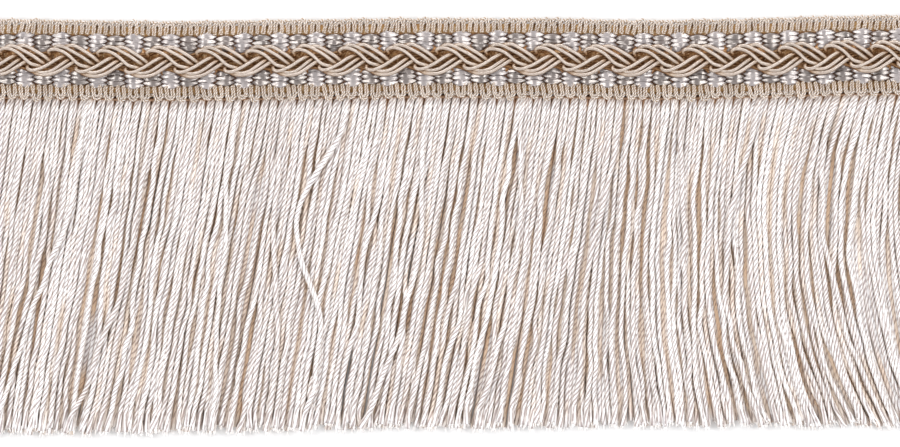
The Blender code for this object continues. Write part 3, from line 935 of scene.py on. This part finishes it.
def frayed_ends(places, filaments, rng):
    """Filaments that spring from each cord's cut end: short tapering tubes that leave the end
    within its girth, run on along it and flare out as the square of their length."""
    last, before = places[:, -1, :3], places[:, -1 - END_LEVELS, :3]
    on = unit(last - before)[:, None, None]
    side = unit(np.cross(on, (0.0, 0.0, 1.0)))
    up = np.cross(side, on)
    shape = (len(places), filaments, 1, 1)
    angle = rng.uniform(0, 2 * np.pi, shape)
    out = np.cos(angle) * side + np.sin(angle) * up
    reach = rng.uniform(*FILAMENT_REACHES, shape) * CORD_RADIUS
    length = rng.uniform(*FILAMENT_LENGTHS, shape) * MM
    flare = rng.uniform(*FILAMENT_FLARES, shape) * MM
    t = np.linspace(0, 1, FILAMENT_RINGS)[None, None, :, None]
    paths = (last[:, None, None] + on * (length * t - FILAMENT_START)
             + out * (reach + flare * t**2))
    paths = paths.reshape(-1, FILAMENT_RINGS, 3)
    thickness = FILAMENT_RADIUS * (1 - FILAMENT_TAPER * t[0, :, :, 0])
    paths[..., 2] = np.maximum(paths[..., 2], FILAMENT_RADIUS)
    return tubes(paths, thickness, thickness, FILAMENT_SIDES,
                 tone=rng.uniform(0.5, 1, len(paths)))


def build_root_bar():
    """The narrow bar that holds the cords' roots: oval, along the tape's lower edge. Its crown
    lies far above it, so the yarn paints it brown all over: painted shade.
    """
    x = np.linspace(-HALF_LENGTH + REPEAT / 2, HALF_LENGTH - REPEAT / 2, TAPE_RINGS)
    path = np.stack([x, ROOT_BAR_Y + lie("bow", x), 0 * x + ROOT_BAR_Z], axis=-1)
    return tubes(path[None], ROOT_BAR_HALF_WIDTH, ROOT_BAR_HALF_HEIGHT, ROOT_BAR_SIDES,
                 crown=ROOT_BAR_CROWN)


def facing(place, target):
    """The rotation that turns a light's or a camera's -Z from a place towards a target."""
    return (Vector(target) - Vector(place)).to_track_quat("-Z", "Y").to_euler()


def add_area_light(name, place, size, power):
    """A square soft light that faces the middle of the trim."""
    light = bpy.data.lights.new(name, "AREA")
    light.energy = power
    light.size = size
    lamp = bpy.data.objects.new(name, light)
    lamp.location = place
    lamp.rotation_euler = facing(place, LIGHT_AIM)
    bpy.context.collection.objects.link(lamp)


def add_studio():
    """White floor, even ambient light, and soft lights at both sides, beyond the heading and
    before the skirt."""
    mesh = bpy.data.meshes.new("floor")
    half = FLOOR_HALF
    mesh.from_pydata([(-half, -half, 0), (half, -half, 0), (half, half, 0), (-half, half, 0)], [],
                     [(0, 1, 2, 3)])
    material, _, shader = new_material("white_floor")
    set_shader(shader, Base_Color=(FLOOR_GREY, FLOOR_GREY, FLOOR_GREY, 1), Roughness=0.9)
    mesh.materials.append(material)
    floor = bpy.data.objects.new("floor", mesh)
    floor.location.z = -FLOOR_DROP
    bpy.context.collection.objects.link(floor)
    world = bpy.data.worlds.new("studio")
    world.use_nodes = True
    background = world.node_tree.nodes["Background"]
    background.inputs["Color"].default_value = WORLD_COLOUR
    background.inputs["Strength"].default_value = WORLD_STRENGTH
    bpy.context.scene.world = world
    for light in LIGHTS:
        add_area_light(*light)


def add_camera():
    """Straight down on the face, with a long lens: what it frames is FRAME_WIDTH wide."""
    camera = bpy.data.cameras.new("camera")
    camera.sensor_width = SENSOR
    camera.lens = SENSOR * (EYE_HEIGHT - FRAMED_HEIGHT) / FRAME_WIDTH
    camera.clip_end = EYE_REACH
    eye = bpy.data.objects.new("camera", camera)
    eye.location = (*FRAME_MIDDLE, EYE_HEIGHT)
    bpy.context.collection.objects.link(eye)
    bpy.context.scene.camera = eye
    bpy.context.scene.view_settings.view_transform = "Standard"


def main():
    rng = np.random.default_rng(SEED)
    yarn, satin, crepe = cream_yarn(), satin_cord(), crepe_cord()
    silver = satin_float("silver_floats", (0.20, 0.177, 0.182), (0.28, 0.247, 0.245))
    taupe = satin_float("taupe_floats", (0.060, 0.043, 0.038), (0.098, 0.070, 0.063))
    tape = add_piece("tape_ground", [build_tape()], ground_cloth(), ["heading_tape"])
    light_floats = add_piece("silver_weft", [build_floats(0, rng)], silver)
    dark_floats = add_piece("taupe_weft", [build_floats(1, rng)], taupe)
    for row in GIMP_ROWS:
        add_piece(f"{row[0]}_cord", build_gimp(row, rng), crepe, [row[0]])
    for strand in range(PLAIT_STRANDS):
        add_piece(f"plait_cords_{strand + 1}", build_plait_strand(strand, rng), satin,
                  [f"plait_strand_{strand + 1}"])
    rows = skirt_layout(rng)
    add_piece("skirt_roots", [build_root_bar()], yarn, ["cut_fringe"])
    for name, _, _, _, _, every, sides in SKIRT_ROWS:
        for half, chosen in zip(("left", "right"), np.array_split(rows[name], 2)):
            add_piece(f"skirt_{name}_{half}", [twisted_cords(chosen, every, sides, rng)], yarn)
    add_piece("skirt_strays", [twisted_cords(rows["stray"], 1, 2 * PLIES, rng)], yarn)
    ends = [frayed_ends(rows[name], count, rng) for name, count in FILAMENT_COUNTS]
    add_piece("skirt_frayed_ends", ends, cream_fibre())
    add_studio()
    add_camera()


main()
